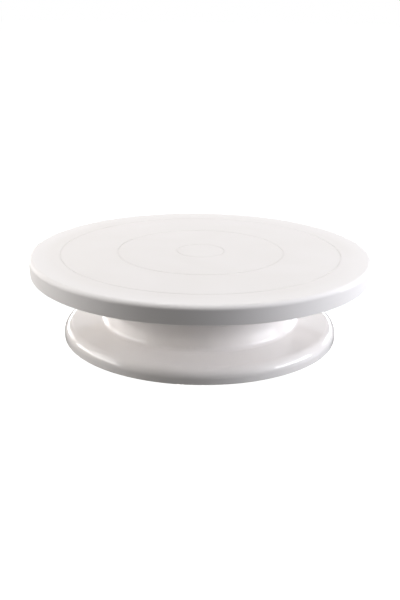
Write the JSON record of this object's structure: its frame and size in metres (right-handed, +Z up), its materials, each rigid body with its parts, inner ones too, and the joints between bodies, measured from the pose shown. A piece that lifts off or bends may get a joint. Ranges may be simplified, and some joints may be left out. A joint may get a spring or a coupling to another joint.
{
  "type": "cake turntable",
  "caption": "Free-spinning round cake turntable: a wide flat plate with a shallow skirt and guide rings, turning on a ball ring above a waisted, flanged base.",
  "frame": {"origin": "on the turning axis, in the plane of the feet's lower faces", "axes": "+Z up along the turning axis; -Y is the front, and the turntable looks the same from every side"},
  "size_m": [0.2799, 0.28, 0.0707],
  "materials": {
    "plate_plastic": "semi-gloss white moulded plastic",
    "base_plastic": "gloss white moulded plastic",
    "race_steel": "rolled steel track with a polished groove",
    "ball_steel": "polished bearing steel",
    "screw_steel": "bright zinc plate",
    "insert_brass": "machined",
    "acetal": "natural acetal",
    "cage_nylon": "natural nylon",
    "foot_rubber": "matte grey"
  },
  "bodies": {
    "base": {"base_shell": "base_plastic", "lower_race": "race_steel", "lower_race_screws": "screw_steel", "pivot_bush": "acetal", "slip_washer": "acetal", "foot_1": "foot_rubber", "foot_2": "foot_rubber", "foot_3": "foot_rubber", "foot_4": "foot_rubber", "foot_5": "foot_rubber", "foot_6": "foot_rubber"},
    "cage": {"ball_cage": "cage_nylon"},
    "ball_01": {"ball_01": "ball_steel"},
    "ball_02": {"ball_02": "ball_steel"},
    "ball_03": {"ball_03": "ball_steel"},
    "ball_04": {"ball_04": "ball_steel"},
    "ball_05": {"ball_05": "ball_steel"},
    "ball_06": {"ball_06": "ball_steel"},
    "ball_07": {"ball_07": "ball_steel"},
    "ball_08": {"ball_08": "ball_steel"},
    "ball_09": {"ball_09": "ball_steel"},
    "ball_10": {"ball_10": "ball_steel"},
    "ball_11": {"ball_11": "ball_steel"},
    "ball_12": {"ball_12": "ball_steel"},
    "ball_13": {"ball_13": "ball_steel"},
    "ball_14": {"ball_14": "ball_steel"},
    "ball_15": {"ball_15": "ball_steel"},
    "ball_16": {"ball_16": "ball_steel"},
    "plate": {"top_plate": "plate_plastic", "upper_race": "race_steel", "upper_race_screws": "screw_steel", "hub_insert": "insert_brass", "pivot_screw": "screw_steel", "steel_washer": "screw_steel"}
  },
  "joints": [
    {"name": "plate_spin", "type": "hinge", "parent": "base", "child": "plate", "pos_m": [0, 0, 0.0604], "axis": [0, 0, 1], "continuous": true},
    {"name": "cage_spin", "type": "hinge", "parent": "base", "child": "cage", "pos_m": [0, 0, 0.0604], "axis": [0, 0, 1], "continuous": true},
    {"name": "ball_01_roll", "type": "hinge", "parent": "cage", "child": "ball_01", "pos_m": [0.064, 0, 0.0604], "axis": [1, 0, 0], "continuous": true},
    {"name": "ball_02_roll", "type": "hinge", "parent": "cage", "child": "ball_02", "pos_m": [0.05913, 0.02449, 0.0604], "axis": [0.9239, 0.3827, 0], "continuous": true},
    {"name": "ball_03_roll", "type": "hinge", "parent": "cage", "child": "ball_03", "pos_m": [0.04525, 0.04525, 0.0604], "axis": [0.7071, 0.7071, 0], "continuous": true},
    {"name": "ball_04_roll", "type": "hinge", "parent": "cage", "child": "ball_04", "pos_m": [0.02449, 0.05913, 0.0604], "axis": [0.3827, 0.9239, 0], "continuous": true},
    {"name": "ball_05_roll", "type": "hinge", "parent": "cage", "child": "ball_05", "pos_m": [0, 0.064, 0.0604], "axis": [0, 1, 0], "continuous": true},
    {"name": "ball_06_roll", "type": "hinge", "parent": "cage", "child": "ball_06", "pos_m": [-0.02449, 0.05913, 0.0604], "axis": [-0.3827, 0.9239, 0], "continuous": true},
    {"name": "ball_07_roll", "type": "hinge", "parent": "cage", "child": "ball_07", "pos_m": [-0.04525, 0.04525, 0.0604], "axis": [-0.7071, 0.7071, 0], "continuous": true},
    {"name": "ball_08_roll", "type": "hinge", "parent": "cage", "child": "ball_08", "pos_m": [-0.05913, 0.02449, 0.0604], "axis": [-0.9239, 0.3827, 0], "continuous": true},
    {"name": "ball_09_roll", "type": "hinge", "parent": "cage", "child": "ball_09", "pos_m": [-0.064, 0, 0.0604], "axis": [-1, 0, 0], "continuous": true},
    {"name": "ball_10_roll", "type": "hinge", "parent": "cage", "child": "ball_10", "pos_m": [-0.05913, -0.02449, 0.0604], "axis": [-0.9239, -0.3827, 0], "continuous": true},
    {"name": "ball_11_roll", "type": "hinge", "parent": "cage", "child": "ball_11", "pos_m": [-0.04525, -0.04525, 0.0604], "axis": [-0.7071, -0.7071, 0], "continuous": true},
    {"name": "ball_12_roll", "type": "hinge", "parent": "cage", "child": "ball_12", "pos_m": [-0.02449, -0.05913, 0.0604], "axis": [-0.3827, -0.9239, 0], "continuous": true},
    {"name": "ball_13_roll", "type": "hinge", "parent": "cage", "child": "ball_13", "pos_m": [0, -0.064, 0.0604], "axis": [0, -1, 0], "continuous": true},
    {"name": "ball_14_roll", "type": "hinge", "parent": "cage", "child": "ball_14", "pos_m": [0.02449, -0.05913, 0.0604], "axis": [0.3827, -0.9239, 0], "continuous": true},
    {"name": "ball_15_roll", "type": "hinge", "parent": "cage", "child": "ball_15", "pos_m": [0.04525, -0.04525, 0.0604], "axis": [0.7071, -0.7071, 0], "continuous": true},
    {"name": "ball_16_roll", "type": "hinge", "parent": "cage", "child": "ball_16", "pos_m": [0.05913, -0.02449, 0.0604], "axis": [0.9239, -0.3827, 0], "continuous": true}
  ],
  "couplings": [
    {"joint": "cage_spin", "follows": "plate_spin", "ratio": 0.5},
    {"joint": "ball_01_roll", "follows": "plate_spin", "ratio": -8},
    {"joint": "ball_02_roll", "follows": "plate_spin", "ratio": -8},
    {"joint": "ball_03_roll", "follows": "plate_spin", "ratio": -8},
    {"joint": "ball_04_roll", "follows": "plate_spin", "ratio": -8},
    {"joint": "ball_05_roll", "follows": "plate_spin", "ratio": -8},
    {"joint": "ball_06_roll", "follows": "plate_spin", "ratio": -8},
    {"joint": "ball_07_roll", "follows": "plate_spin", "ratio": -8},
    {"joint": "ball_08_roll", "follows": "plate_spin", "ratio": -8},
    {"joint": "ball_09_roll", "follows": "plate_spin", "ratio": -8},
    {"joint": "ball_10_roll", "follows": "plate_spin", "ratio": -8},
    {"joint": "ball_11_roll", "follows": "plate_spin", "ratio": -8},
    {"joint": "ball_12_roll", "follows": "plate_spin", "ratio": -8},
    {"joint": "ball_13_roll", "follows": "plate_spin", "ratio": -8},
    {"joint": "ball_14_roll", "follows": "plate_spin", "ratio": -8},
    {"joint": "ball_15_roll", "follows": "plate_spin", "ratio": -8},
    {"joint": "ball_16_roll", "follows": "plate_spin", "ratio": -8}
  ]
}
